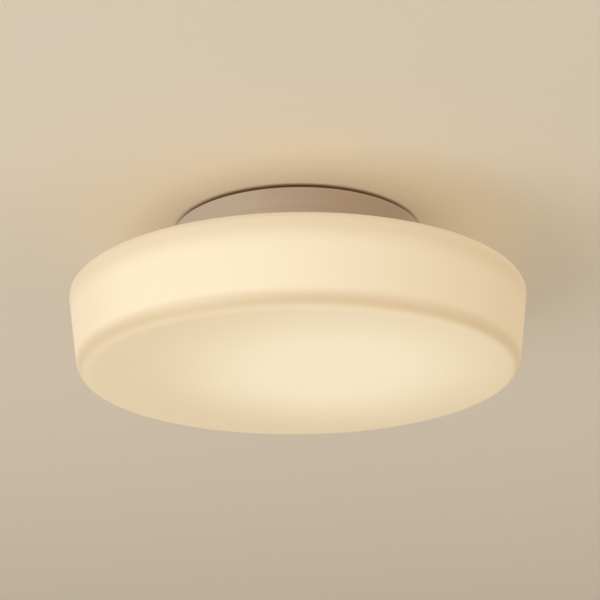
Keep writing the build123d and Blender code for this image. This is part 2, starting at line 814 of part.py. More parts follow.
with BuildPart() as terminal_strip:
    with BuildSketch(Plane.XY.offset(plate_under)):
        with Locations((strip_x, strip_y)):
            RectangleRounded(strip_width, strip_length_y, sheet)
    extrude(amount=-strip_base)
    with BuildSketch(Plane.YZ.offset(strip_x - strip_width / 2)):
        with Locations(*[(pole_y, pole_z) for pole_y in pole_ys]):
            Circle(pole_radius)
    extrude(amount=strip_width)
    with BuildSketch(Plane.XY.offset(pole_z)):
        with Locations(*clamp_places):
            Circle(tower_radius)
    extrude(amount=strip_bottom - pole_z)
    with BuildSketch(Plane.YZ.offset(strip_x - strip_width / 2)):
        with Locations(*[(pole_y, pole_z) for pole_y in pole_ys]):
            Circle(tube_radius + press_gap)
    extrude(amount=strip_width, mode=Mode.SUBTRACT)
    with BuildSketch(Plane.XY.offset(pole_z)):
        with Locations(*clamp_places):
            Circle(clamp_screw_radius + press_gap)
    extrude(amount=strip_bottom - pole_z, mode=Mode.SUBTRACT)
    with BuildSketch(Plane.XY.offset(plate_under)):
        with Locations(*strip_screw_places):
            Circle(strip_screw_radius + press_gap)
    extrude(amount=-strip_base, mode=Mode.SUBTRACT)
    with BuildSketch(Plane.XY.offset(plate_under - strip_base)):
        with Locations(*strip_screw_places):
            Circle(strip_screw_head_radius + screw_room)
    extrude(amount=-strip_below_plate, mode=Mode.SUBTRACT)
export(terminal_strip, "terminal_strip")

with BuildPart() as terminal_tubes:
    with BuildSketch(Plane.YZ.offset(strip_x - tube_length / 2)):
        with Locations(*[(pole_y, pole_z) for pole_y in pole_ys]):
            Circle(tube_radius)
            Circle(tube_bore, mode=Mode.SUBTRACT)
    extrude(amount=tube_length)
    with BuildSketch(Plane.XY.offset(pole_z)):
        with Locations(*clamp_places):
            Circle(clamp_screw_radius + press_gap)
    extrude(amount=strip_bottom - pole_z, mode=Mode.SUBTRACT)
export(terminal_tubes, "terminal_tubes")

with BuildPart() as terminal_clamp_screws:
    clamp_tip = pole_z - ferrule_radius - press_gap
    with BuildSketch(Plane.XY.offset(clamp_tip)):
        with Locations(*clamp_places):
            Circle(clamp_screw_radius)
    extrude(amount=-clamp_screw_length)
    with BuildSketch(Plane.XY.offset(clamp_tip - clamp_screw_length)):
        with Locations(*clamp_places):
            Rectangle(3 * clamp_screw_radius, clamp_screw_radius / 2)
    extrude(amount=clamp_screw_radius / 2, mode=Mode.SUBTRACT)
export(terminal_clamp_screws, "terminal_clamp_screws")

with BuildPart() as strip_screws:
    with BuildSketch(Plane.XY.offset(plate_under - strip_base)):
        with Locations(*strip_screw_places):
            Circle(strip_screw_head_radius)
    extrude(amount=-strip_screw_head)
    fillet(strip_screws.edges().group_by(Axis.Z)[0], strip_screw_head / 4)
    with BuildSketch(Plane.XY.offset(plate_under - strip_base)):
        with Locations(*strip_screw_places):
            Circle(strip_screw_radius)
    extrude(amount=strip_base + sheet + ceiling_gap / 2)
    with BuildSketch(Plane.XY.offset(plate_under - strip_base - strip_screw_head)):
        with Locations(*strip_screw_places):
            Rectangle(2 * strip_screw_head_radius, strip_screw_head / 3)
    extrude(amount=strip_screw_head / 2, mode=Mode.SUBTRACT)
export(strip_screws, "strip_screws")


# ---------------------------------------------------------------- earth point
washer_under = plate_under - washer_thickness
tag_under = washer_under - tag_thickness
tag_end_x = earth_x + tag_reach

with BuildPart() as earth_washer:
    with BuildSketch(Plane.XY.offset(plate_under)):
        with Locations((earth_x, earth_y)):
            Circle(washer_radius)
            Circle(earth_screw_radius + press_gap, mode=Mode.SUBTRACT)
    extrude(amount=-washer_thickness)
export(earth_washer, "earth_washer")

with BuildPart() as earth_tag:
    with BuildSketch(Plane.XY.offset(washer_under)):
        with Locations((earth_x, earth_y)):
            Circle(tag_radius)
            Rectangle(tag_reach, tag_neck, align=(Align.MIN, Align.CENTER))
            Circle(earth_screw_radius + press_gap, mode=Mode.SUBTRACT)
    extrude(amount=-tag_thickness)
    barrel_z = washer_under - tag_barrel_radius
    with BuildSketch(Plane.YZ.offset(tag_end_x - tag_neck / 4)):
        with Locations((earth_y, barrel_z)):
            Circle(tag_barrel_radius)
            Circle(lead_radius + press_gap, mode=Mode.SUBTRACT)
    extrude(amount=tag_neck)
export(earth_tag, "earth_tag")

with BuildPart() as earth_screw:
    with BuildSketch(Plane.XY.offset(tag_under)):
        with Locations((earth_x, earth_y)):
            Circle(earth_head_radius)
    extrude(amount=-earth_head)
    fillet(earth_screw.edges().group_by(Axis.Z)[0], earth_head / 4)
    with BuildSketch(Plane.XY.offset(tag_under)):
        with Locations((earth_x, earth_y)):
            Circle(earth_screw_radius)
    extrude(amount=tag_thickness + washer_thickness + sheet + ceiling_gap / 2)
    with BuildSketch(Plane.XY.offset(tag_under - earth_head)):
        with Locations((earth_x, earth_y)):
            Rectangle(2 * earth_head_radius, earth_head / 3)
            Rectangle(earth_head / 3, earth_cross)
    extrude(amount=earth_head / 2, mode=Mode.SUBTRACT)
export(earth_screw, "earth_screw")


# ---------------------------------------------------------------- internal leads
tube_end_x = strip_x - tube_length / 2
block_top = terminal_z + terminal_block / 2


def make_lead(name, points, radii):
    """A round lead along straight runs and tangent arcs. Prints its length, and its volume as a share
    of its section times that length."""
    with BuildPart() as lead:
        with BuildLine() as route:
            FilletPolyline(*points, radius=radii)
        with BuildSketch(Plane(origin=route.line @ 0, z_dir=route.line % 0)):
            Circle(lead_radius)
        sweep()
    export(lead, name)
    length = route.wire().length
    share = lead.part.volume / (pi * lead_radius**2 * length)
    print(f"{name}: length {length:.1f}, radii {radii}, volume share {share:.4f}")


def lamp_lead(name, pole, side, straight, hump):
    """A lead from a pole of the strip over to the terminal on that side of the lampholder."""
    start = (tube_end_x, pole_ys[pole], pole_z)
    first = (tube_end_x - straight, pole_ys[pole], pole_z)
    end = (terminal_world_x, side * terminal_y, block_top)
    above = (end[0], end[1], end[2] + lead_above_block)
    over = (above[0] + hump[0], above[1] + hump[1], above[2] + hump[2])
    make_lead(name, [start, first, over, above, end], [lead_bend, lead_bend, lead_last_bend])


lamp_lead("live_lead", 0, 1, live_straight, live_hump)
lamp_lead("neutral_lead", 1, -1, neutral_straight, neutral_hump)
earth_start = (tube_end_x, pole_ys[2], pole_z)
earth_first = (tube_end_x - earth_straight, pole_ys[2], pole_z)
earth_last = (tag_end_x + earth_last_straight, earth_y, barrel_z)
earth_end = (tag_end_x, earth_y, barrel_z)
make_lead("earth_lead", [earth_start, earth_first, earth_last, earth_end], [earth_bend, earth_bend])

with BuildPart() as lead_ferrules:
    with BuildSketch(Plane.YZ.offset(tube_end_x)):
        with Locations(*[(pole_y, pole_z) for pole_y in pole_ys]):
            Circle(ferrule_radius)
    extrude(amount=ferrule_length)
    with BuildSketch(Plane.XY.offset(block_top)):
        with Locations(*block_places):
            Circle(ferrule_radius)
    extrude(amount=-terminal_block)
export(lead_ferrules, "lead_ferrules")
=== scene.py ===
import json
from math import asin, cos, pi, radians, sin, sqrt, tan, tau

import bmesh
import bpy
from bpy.props import FloatProperty, FloatVectorProperty, IntProperty, PointerProperty
from mathutils import Matrix, Vector


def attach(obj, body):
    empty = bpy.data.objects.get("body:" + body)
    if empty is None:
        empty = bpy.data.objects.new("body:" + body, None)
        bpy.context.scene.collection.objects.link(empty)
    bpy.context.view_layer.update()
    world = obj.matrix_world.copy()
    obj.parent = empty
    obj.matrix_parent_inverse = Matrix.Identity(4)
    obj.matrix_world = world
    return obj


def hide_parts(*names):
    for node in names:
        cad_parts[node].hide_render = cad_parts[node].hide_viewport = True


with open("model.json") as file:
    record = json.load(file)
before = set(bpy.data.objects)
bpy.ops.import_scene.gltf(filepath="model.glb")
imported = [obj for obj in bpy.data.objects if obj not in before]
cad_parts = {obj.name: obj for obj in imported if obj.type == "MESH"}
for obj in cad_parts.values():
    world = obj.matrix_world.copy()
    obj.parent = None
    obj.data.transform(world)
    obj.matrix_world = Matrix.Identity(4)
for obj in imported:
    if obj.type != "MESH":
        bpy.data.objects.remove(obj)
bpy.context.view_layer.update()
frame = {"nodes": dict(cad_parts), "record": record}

bl_info = {
    "name": "Flush mount ceiling light",
    "version": (1, 0, 0),
    "blender": (4, 5, 0),
    "location": "View3D > Sidebar > Ceiling light",
    "description": "Builds the visible pieces of a flush ceiling light over its packed frame",
    "category": "Object",
}

MM = 0.001
SCREWS = {"a": 90.0, "b": 210.0, "c": 330.0}
FINISHES = {}

# Distances in metres below which two places count as one, and two heights as level
NEAR = 1e-6
LEVEL = 1e-7

# Painted glow of the lamp's dome, painted shadow on the ceiling over the canopy, and light from all
# sides
DOME_GLOW = (1.0, 0.88, 0.66)
PAINTED_GAP_SHADOW = (0.20, 0.12, 0.06)
SOFT_LIGHT = (0.635, 0.61, 0.572)

# Points that each lead's line is drawn towards, in millimetres, and the length of a free one
LEADS = {
    "live": (
        ((-29.364, 34.085, -10.0), (-43.864, 34.085, -10.0), (-58.0, 22.0, -16.0),
         (-61.5, 8.0, -27.4), (-61.5, 8.0, -41.4)),
        65.5,
    ),
    "neutral": (
        ((-29.364, 45.085, -10.0), (-42.864, 45.085, -10.0), (-56.0, 20.0, -21.0),
         (-61.5, -8.0, -27.4), (-61.5, -8.0, -41.4)),
        84.3,
    ),
    "earth": (
        ((-29.364, 56.085, -10.0), (-32.864, 56.085, -10.0), (-37.364, 50.085, -5.7),
         (-42.864, 50.085, -5.7)),
        None,
    ),
}

# How far the edges of the inner parts are broken, in millimetres, and where that differs
USUAL_EDGE = 0.1
EDGES = {
    "holder_bracket": 0.3, "lampholder_body": 0.0, "terminal_strip": 0.5, "terminal_tubes": 0.15,
    "lampholder_shell": 0.0, "bulb_contact": 0.0, "bulb_insulator": 0.2, "bulb_coil": 0.3,
}


def length(name, millimetres, description):
    """A size that a user can change, in metres, from its value in millimetres."""
    return FloatProperty(
        name=name, description=description, default=millimetres * MM, min=0.0, unit="LENGTH"
    )


def colour(name, rgb, description):
    """A colour that a user can change, as linear red, green and blue."""
    return FloatVectorProperty(
        name=name, description=description, default=rgb, min=0.0, max=1.0, size=3, subtype="COLOR"
    )


class CeilingLightSizes(bpy.types.PropertyGroup):
    """Sizes of the pieces. Heights are below the ceiling."""

    steps: IntProperty(
        name="Steps", description="Steps once round the large round pieces", default=192, min=48
    )
    pan_radius: length("Pan radius", 83.0, "Outer radius of the canopy's skirt")
    pan_sheet: length("Pan sheet", 1.0, "Thickness of the canopy's sheet")
    pan_top: length("Pan top", 2.0, "Height of the plate's upper face")
    pan_edge: length("Pan edge", 39.5, "Height of the skirt's lower edge")
    pan_bend: length("Pan bend", 1.6, "Outer radius of the bend from plate to skirt")
    hem_radius: length("Hem radius", 1.1, "Radius of the rolled lower edge")
    slot_place: length("Slot place", 55.0, "Distance of the ceiling slots from the middle")
    slot_length: length("Slot length", 12.0, "Length of a ceiling slot")
    slot_width: length("Slot width", 5.0, "Width of a ceiling slot")
    pad_length: length("Pad length", 26.0, "Length of a raised pad round a slot")
    pad_width: length("Pad width", 15.0, "Width of a raised pad round a slot")
    plain_pad_place: length("Plain pad place", 58.0, "Distance of the round pad from the middle")
    plain_pad_radius: length("Plain pad radius", 7.5, "Radius of the round pad")
    pad_slope: length("Pad slope", 0.6, "How far a pad's edge leans inwards")
    cable_hole: length("Cable hole", 7.0, "Radius of the hole for the grommet")
    glass_wall: length("Glass wall", 3.5, "Thickness of the glass")
    neck_radius: length("Neck radius", 76.6, "Outer radius of the glass neck")
    lip_radius: length("Lip radius", 80.6, "Outer radius of the glass lip")
    lip_top: length("Lip top", 27.05, "Height of the lip's upper face")
    lip_height: length("Lip height", 3.5, "Thickness of the lip")
    shoulder_radius: length("Shoulder radius", 150.7, "Where shoulder and wall meet unrounded")
    shoulder_height: length("Shoulder height", 46.455, "Height of that corner")
    shoulder_round: length("Shoulder round", 5.2, "Outer rounding of that corner")
    neck_foot: length("Neck foot", 42.455, "Height where neck and shoulder meet")
    base_radius: length("Base radius", 143.1, "Where wall and base meet unrounded")
    base_height: length("Base height", 102.655, "Height of that corner")
    base_round: length("Base round", 10.2, "Outer rounding of that corner")
    base_crown: length("Base crown", 1.2, "How much lower the base is at its middle")
    screw_height: length("Screw height", 32.3, "Height of the thumbscrews' axes")
    head_radius: length("Head radius", 5.6, "Radius of a thumbscrew's head")
    head_thickness: length("Head thickness", 6.5, "Thickness of a thumbscrew's head")
    head_cap: length("Head cap", 0.7, "How far the smooth cap stands off the head")
    head_flutes: IntProperty(
        name="Head flutes", description="Flutes round a thumbscrew's head", default=24, min=6
    )
    lamp_height: length("Lamp height", 52.0, "Height of the lamp's axis")
    lamp_start: FloatProperty(
        name="Lamp start", description="Place of the lamp's end contact", default=-49.5 * MM,
        unit="LENGTH",
    )
    bulb_radius: length("Bulb radius", 30.0, "Radius of the lamp's dome")
    bulb_length: length("Bulb length", 108.0, "Length of the lamp")
    bulb_wall: length("Bulb wall", 1.5, "Thickness of the lamp's dome")
    dome_back: length("Dome back", 10.0, "How far the dome reaches behind the middle of its ball")
    cap_radius: length("Cap radius", 12.1, "Radius of the lamp's cap between its threads")
    cap_pitch: length("Cap pitch", 3.629, "Pitch of the cap's thread")
    lead_radius: length("Lead radius", 1.3, "Radius of the leads")


class CeilingLightColours(bpy.types.PropertyGroup):
    """Colours of the finishes and of the room."""

    glow: colour("Glow", (0.98, 0.83, 0.57), "Lit glass nearest to the lamp")
    glow_far: colour("Glow far", (0.49, 0.30, 0.09), "Lit glass farthest from the lamp")
    opal: colour("Opal", (0.56, 0.495, 0.39), "Opal glass by daylight")
    nickel: colour("Nickel", (0.62, 0.515, 0.42), "Satin nickel")
    nickel_dark: colour("Nickel dark", (0.58, 0.48, 0.385), "Darker lines in the satin nickel")
    ceiling: colour("Ceiling", (0.87, 0.78, 0.65), "Painted ceiling")
    floor: colour("Floor", (0.74, 0.715, 0.67), "Floor far below")
    surroundings: colour(
        "Surroundings", (0.735, 0.71, 0.665), "What shows beyond ceiling and floor"
    )
    room_left: colour("Room at the left", (0.85, 0.76, 0.66), "What metal mirrors from there")
    room_right: colour("Room at the right", (0.56, 0.43, 0.31), "What metal mirrors from there")


# ---------------------------------------------------------------- materials
class Value:
    """A shader socket that takes part in plain arithmetic."""

    def __init__(self, finish, socket):
        self.finish = finish
        self.socket = socket

    def maths(self, operation, *others, clamp=False):
        """A maths node with this value first."""
        values = dict(enumerate((self, *others)))
        settings = {"operation": operation, "use_clamp": clamp}
        return self.finish.node("ShaderNodeMath", settings, values)

    def __add__(self, other):
        return self.maths("ADD", other)

    __radd__ = __add__

    def __mul__(self, other):
        return self.maths("MULTIPLY", other)

    __rmul__ = __mul__

    def __sub__(self, other):
        return self.maths("SUBTRACT", other)

    def __rsub__(self, other):
        return self.finish.node("ShaderNodeMath", {"operation": "SUBTRACT"}, {0: other, 1: self})

    def __truediv__(self, other):
        return self.maths("DIVIDE", other)

    def __pow__(self, other):
        return self.maths("POWER", other)

    def within(self):
        """The value held between 0 and 1."""
        return self.maths("ADD", 0.0, clamp=True)


class Finish:
    """A material under construction, with a Principled shader at its end."""

    def __init__(self, name, **sockets):
        self.material = bpy.data.materials.new(name)
        self.material.use_nodes = True
        self.tree = self.material.node_tree
        self.tree.nodes.clear()
        self.output = self.tree.nodes.new("ShaderNodeOutputMaterial")
        self.shader = self.tree.nodes.new("ShaderNodeBsdfPrincipled")
        self.tree.links.new(self.shader.outputs[0], self.output.inputs["Surface"])
        for socket, value in sockets.items():
            self.give(socket.replace("_", " "), value)

    def node(self, kind, settings=None, values=None, out=0):
        """Adds a node with its settings, then its sockets' values or links. Returns one output."""
        made = self.tree.nodes.new(kind)
        for name, value in (settings or {}).items():
            setattr(made, name, value)
        for key, value in (values or {}).items():
            self.feed(made.inputs[key], value)
        return Value(self, made.outputs[out])

    def feed(self, socket, value):
        """Links a socket to a value, or sets it to a number, a vector or a colour."""
        if isinstance(value, Value):
            self.tree.links.new(value.socket, socket)
        elif socket.type == "RGBA":
            socket.default_value = (*value, 1.0)
        else:
            socket.default_value = value

    def give(self, name, value):
        """Sets or links one of the shader's own sockets."""
        self.feed(self.shader.inputs[name], value)
        return self

    def place(self):
        """Where the point is on the object, in metres."""
        return self.node("ShaderNodeTexCoord", out="Object")

    def stretched(self, scale):
        """The place, scaled along each axis."""
        return self.node("ShaderNodeMapping", None, {"Vector": self.place(), "Scale": scale})

    def parts(self, vector):
        """X, Y and Z of a vector."""
        made = self.node("ShaderNodeSeparateXYZ", None, {0: vector})
        return [Value(self, socket) for socket in made.socket.node.outputs]

    def noise(self, vector, scale, detail, roughness=0.5):
        """A cloud from 0 to 1."""
        values = {"Vector": vector, "Scale": scale, "Detail": detail, "Roughness": roughness}
        return self.node("ShaderNodeTexNoise", None, values, "Fac")

    def blend(self, amount, low, high):
        """One colour turning into another. The sockets for colours are numbers 6 and 7."""
        values = {0: amount, 6: low, 7: high}
        return self.node("ShaderNodeMix", {"data_type": "RGBA"}, values, 2)

    def step(self, value, low, high):
        """0 at low and 1 at high, with a soft change between them. Low may be the larger."""
        settings = {"interpolation_type": "SMOOTHSTEP"}
        values = {"Value": value, "From Min": low, "From Max": high}
        return self.node("ShaderNodeMapRange", settings, values)

    def bumps(self, height, depth):
        """Feeds the shader's normal from a height, with that depth in metres."""
        values = {"Height": height, "Strength": 1.0, "Distance": depth}
        return self.give("Normal", self.node("ShaderNodeBump", None, values))


def brushed(name, light, dark, roughness, lines):
    """Brushed metal: fine lines round the Z axis on walls and plates alike."""
    finish = Finish(name, Metallic=1.0)
    x, y, z = finish.parts(finish.place())
    round_way = (x * x + y * y) ** 0.5
    across = (z - round_way) * lines
    along = finish.node("ShaderNodeCombineXYZ", None, {0: x * 9.0, 1: y * 9.0, 2: across})
    fine = finish.noise(along, 1.0, 5.0, 0.65)
    broad = finish.noise(finish.stretched((7.0, 7.0, 60.0)), 1.0, 2.0)
    mark = finish.step(fine, 0.30, 0.70)
    finish.give("Base Color", finish.blend(mark * 0.75 + broad * 0.25, dark, light))
    finish.give("Roughness", roughness + mark * 0.10 + broad * 0.08)
    return finish.bumps(fine, 0.00004).material


def turned(name, light, dark, roughness):
    """Machined or plated metal with fine tool marks and a little tarnish."""
    finish = Finish(name, Metallic=1.0)
    marks = finish.noise(finish.place(), 900.0, 2.0)
    cloud = finish.noise(finish.place(), 120.0, 4.0, 0.6)
    tarnish = finish.step(cloud, 0.35, 0.75)
    finish.give("Base Color", finish.blend(tarnish * 0.7 + marks * 0.3, light, dark))
    finish.give("Roughness", roughness + tarnish * 0.14 + marks * 0.05)
    return finish.bumps(marks, 0.00002).material


def moulded(name, light, dark, roughness, grain=2200.0, depth=0.00003, lit_from=None):
    """Moulded plastic or rubber with a fine grain and slight changes of shade. Where lit_from is
    given, it glows beyond that place along X, as the dome of a lit lamp does."""
    finish = Finish(name)
    if lit_from is not None:
        x, _, _ = finish.parts(finish.place())
        blur = 0.0002
        lit = finish.step(x, lit_from - blur, lit_from + blur)
        finish.give("Emission Color", finish.blend(lit, (0.0, 0.0, 0.0), DOME_GLOW))
        finish.give("Emission Strength", 0.38)
    shade = finish.noise(finish.place(), 45.0, 3.0)
    texture = finish.noise(finish.place(), grain, 2.0)
    finish.give("Base Color", finish.blend(finish.step(shade, 0.3, 0.7), dark, light))
    finish.give("Roughness", roughness + texture * 0.12)
    return finish.bumps(texture, depth).material


def glazed(name, light, dark):
    """Glazed ceramic: a smooth coat over a body with faint specks."""
    finish = Finish(name, Coat_Weight=0.8, Coat_Roughness=0.06, Roughness=0.35)
    wave = finish.noise(finish.place(), 60.0, 2.0)
    specks = finish.step(finish.noise(finish.place(), 1400.0, 1.0), 0.70, 0.78)
    finish.give("Base Color", finish.blend(wave * 0.4 + specks * 0.6, light, dark))
    return finish.bumps(wave, 0.0002).material


def opal_glass(colours):
    """Opal glass that looks lit from inside. The glow is a painted pattern, in metres from
    the origin, and no light of the lamp passes through."""
    finish = Finish("opal_glass", IOR=1.5, Coat_Weight=0.20, Coat_Roughness=0.22)
    x, y, z = finish.parts(finish.place())
    # The base is brightest in a spot near its middle
    spot_x, spot_y, narrow = 0.022, -0.022, 1.15
    away = (((x - spot_x) * narrow) ** 2.0 + (y - spot_y) ** 2.0) ** 0.5
    on_base = finish.step(z, -0.0990, -0.1024)
    base = 1.04 - finish.step(away, 0.028, 0.160) * 0.66
    # The painted glow is darker at the wall's lower and upper corner, to the right and at the far
    # left: painted shade
    foot = finish.step(z, -0.0985, -0.0902)
    head = 1.0 - finish.step(z, -0.0680, -0.0450)
    right = ((x + 0.02) / 0.16).within() ** 1.3
    left = finish.step(x, -0.095, -0.150)
    wall = foot * head * (0.80 - right * 0.57 - left * 0.36)
    # The cover is brightest in a band about half way out
    band, half = 0.114, 0.036
    out = (x * x + y * y) ** 0.5
    lit_band = (1.0 - ((out - band) / half) ** 2.0).within()
    cover = finish.step(z, -0.0560, -0.0495) * (0.18 + lit_band * 0.42)
    cloud = finish.noise(finish.place(), 14.0, 2.0)
    lit = (on_base * base + (1.0 - on_base) * (wall + cover)) * (0.95 + cloud * 0.10)
    finish.give("Emission Color", finish.blend(lit.within(), colours.glow_far, colours.glow))
    finish.give("Emission Strength", 0.55)
    ripple = finish.noise(finish.place(), 55.0, 2.0)
    fine = finish.noise(finish.place(), 1800.0, 2.0)
    deeper = tuple(0.96 * part for part in colours.opal)
    finish.give("Base Color", finish.blend(ripple * 0.5, tuple(colours.opal), deeper))
    finish.give("Roughness", 0.46 + fine * 0.08)
    return finish.bumps(ripple, 0.00006).material


def cable_skin(name, light, dark):
    """Soft cable insulation, slightly glossy."""
    return moulded(name, light, dark, 0.34, 900.0, 0.00002)


def make_finishes(colours):
    """Every material of the light, named as its slot."""
    return {
        "satin_nickel": brushed("satin_nickel", colours.nickel, colours.nickel_dark, 0.27, 420.0),
        "opal_glass": opal_glass(colours),
        "nickel": turned("nickel", (0.70, 0.66, 0.60), (0.55, 0.50, 0.44), 0.20),
        "soft_tip": moulded("soft_tip", (0.72, 0.70, 0.64), (0.66, 0.64, 0.58), 0.5),
        "black_rubber": moulded("black_rubber", (0.035, 0.035, 0.035), (0.022, 0.022, 0.022), 0.6),
        "zinc_steel": turned("zinc_steel", (0.62, 0.63, 0.64), (0.46, 0.47, 0.47), 0.34),
        "porcelain": glazed("porcelain", (0.82, 0.80, 0.75), (0.70, 0.67, 0.60)),
        "brass": turned("brass", (0.80, 0.60, 0.28), (0.58, 0.40, 0.16), 0.26),
        "strip_plastic": moulded("strip_plastic", (0.76, 0.74, 0.66), (0.70, 0.68, 0.60), 0.42),
        "live_insulation": cable_skin("live_insulation", (0.13, 0.04, 0.015), (0.10, 0.03, 0.01)),
        "neutral_insulation": cable_skin(
            "neutral_insulation", (0.02, 0.08, 0.40), (0.015, 0.06, 0.32)
        ),
        "earth_insulation": cable_skin("earth_insulation", (0.10, 0.36, 0.02), (0.08, 0.28, 0.02)),
        "tinned_copper": turned("tinned_copper", (0.70, 0.70, 0.68), (0.54, 0.53, 0.50), 0.3),
        "black_glass": glazed("black_glass", (0.012, 0.012, 0.014), (0.03, 0.03, 0.03)),
        "cap_nickel": turned("cap_nickel", (0.66, 0.66, 0.65), (0.50, 0.49, 0.47), 0.22),
        "white_plastic": moulded(
            "white_plastic", (0.84, 0.84, 0.82), (0.80, 0.80, 0.77), 0.28, lit_from=0.0185
        ),
        "board_white": moulded("board_white", (0.76, 0.76, 0.74), (0.70, 0.70, 0.67), 0.4),
        "led_phosphor": moulded("led_phosphor", (0.85, 0.55, 0.05), (0.76, 0.46, 0.04), 0.35),
        "board_green": moulded("board_green", (0.02, 0.12, 0.04), (0.015, 0.09, 0.03), 0.35),
        "capacitor_sleeve": moulded(
            "capacitor_sleeve", (0.012, 0.014, 0.022), (0.02, 0.02, 0.03), 0.25
        ),
        "coil_tape": moulded("coil_tape", (0.72, 0.42, 0.03), (0.60, 0.33, 0.02), 0.38),
    }


# ---------------------------------------------------------------- modelling
def line(bm, corners, closed=False):
    """Draws a line in the XZ plane through corners, each given as across, up and the radius of
    its rounding."""
    verts = [bm.verts.new((across, 0.0, up)) for across, up, _ in corners]
    pairs = list(zip(verts, verts[1:] + verts[:1] if closed else verts[1:]))
    for a, b in pairs:
        bm.edges.new((a, b))
    places = [vert.co.copy() for vert in verts]
    count = len(verts)
    for n, (vert, (_, _, radius)) in enumerate(zip(verts, corners)):
        if radius > 0.0:
            back = (places[n - 1] - places[n]).normalized()
            on = (places[(n + 1) % count] - places[n]).normalized()
            turn = pi - back.angle(on)
            bmesh.ops.bevel(
                bm, geom=[vert], offset=radius * tan(turn / 2), offset_type="OFFSET",
                segments=max(4, round(turn / radians(6))), profile=0.5, affect="VERTICES",
                material=-1, clamp_overlap=False,
            )


def turn_round(bm, steps):
    """Spins all that is in the mesh once round Z, and closes its seam and poles."""
    bmesh.ops.spin(
        bm, geom=bm.verts[:] + bm.edges[:], cent=(0, 0, 0), axis=(0, 0, 1), angle=tau, steps=steps,
        use_merge=True,
    )
    bmesh.ops.remove_doubles(bm, verts=bm.verts, dist=NEAR)
    bmesh.ops.recalc_face_normals(bm, faces=bm.faces)


def coil(bm, radius, ridge, start, pitch, turns, per_turn, sides):
    """A helical ridge about Z, round in section and closed at both ends."""
    made = bmesh.ops.create_circle(
        bm, cap_ends=True, segments=sides, radius=ridge,
        matrix=Matrix.Translation((radius, 0.0, start)) @ Matrix.Rotation(pi / 2, 4, "X"),
    )
    edges = {edge for vert in made["verts"] for edge in vert.link_edges}
    faces = {face for vert in made["verts"] for face in vert.link_faces}
    steps = round(per_turn * turns)
    bmesh.ops.spin(
        bm, geom=[*faces, *edges, *made["verts"]], cent=(0, 0, 0), axis=(0, 0, 1),
        angle=tau * turns, steps=steps, dvec=(0, 0, pitch * turns / steps), use_duplicate=False,
    )


def ring(bm, middle, radius, height, segments=32):
    """Edges of a circle across Z."""
    made = bmesh.ops.create_circle(
        bm, cap_ends=False, segments=segments, radius=radius,
        matrix=Matrix.Translation((*middle, height)),
    )
    return list({edge for vert in made["verts"] for edge in vert.link_edges})


def slot_ring(bm, place, long, wide, height):
    """Edges of a slot along Y: a circle with its halves moved apart."""
    count = 32
    turn = Matrix.Rotation(pi / count, 4, "Z")
    made = bmesh.ops.create_circle(
        bm, cap_ends=False, segments=count, radius=wide / 2, matrix=turn
    )
    for vert in made["verts"]:
        vert.co.y += place + (long - wide) / 2 * (1 if vert.co.y > 0 else -1)
        vert.co.z = height
    return list({edge for vert in made["verts"] for edge in vert.link_edges})


def join(bm, one, other):
    """Faces between two rings: a flat band where they are level, and else a wall."""
    level = abs(one[0].verts[0].co.z - other[0].verts[0].co.z) < LEVEL
    if level:
        bmesh.ops.triangle_fill(bm, use_beauty=True, edges=one + other)
    else:
        bmesh.ops.bridge_loops(bm, edges=one + other)


def radial(angle, radius, height):
    """Turns and moves Z outwards along the radius at that angle."""
    a = radians(angle)
    turn = Matrix(((-sin(a), 0, cos(a)), (cos(a), 0, sin(a)), (0, 1, 0))).to_4x4()
    return Matrix.Translation((radius * cos(a), radius * sin(a), -height)) @ turn


def along_lamp(sizes):
    """Turns Z along the lamp, from its end contact."""
    turn = Matrix(((0, 0, 1), (1, 0, 0), (0, 1, 0))).to_4x4()
    return Matrix.Translation((sizes.lamp_start, 0.0, -sizes.lamp_height)) @ turn


def soften(bm, limit=32.0):
    """Smooth shading, with edges that turn more than the limit kept sharp."""
    for face in bm.faces:
        face.smooth = True
    for edge in bm.edges:
        if len(edge.link_faces) == 2:
            edge.smooth = edge.calc_face_angle(0.0) < radians(limit)


def as_object(name, bm):
    """Turns the mesh into an object in the scene."""
    mesh = bpy.data.meshes.new(name)
    bm.to_mesh(mesh)
    bm.free()
    piece = bpy.data.objects.new(name, mesh)
    bpy.context.scene.collection.objects.link(piece)
    return piece


def add_piece(name, bm, slot, body, nodes, limit=32.0):
    """Makes an object of the mesh, with its finish, and lets it ride on a body for its nodes."""
    soften(bm, limit)
    piece = as_object(name, bm)
    piece.data.materials.append(FINISHES[slot])
    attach(piece, body)
    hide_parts(*nodes)
    return piece


def weigh_normals(piece):
    """Keeps the shading of large flat faces from bending into the roundings beside them."""
    modifier = piece.modifiers.new("even_shading", "WEIGHTED_NORMAL")
    modifier.keep_sharp = True


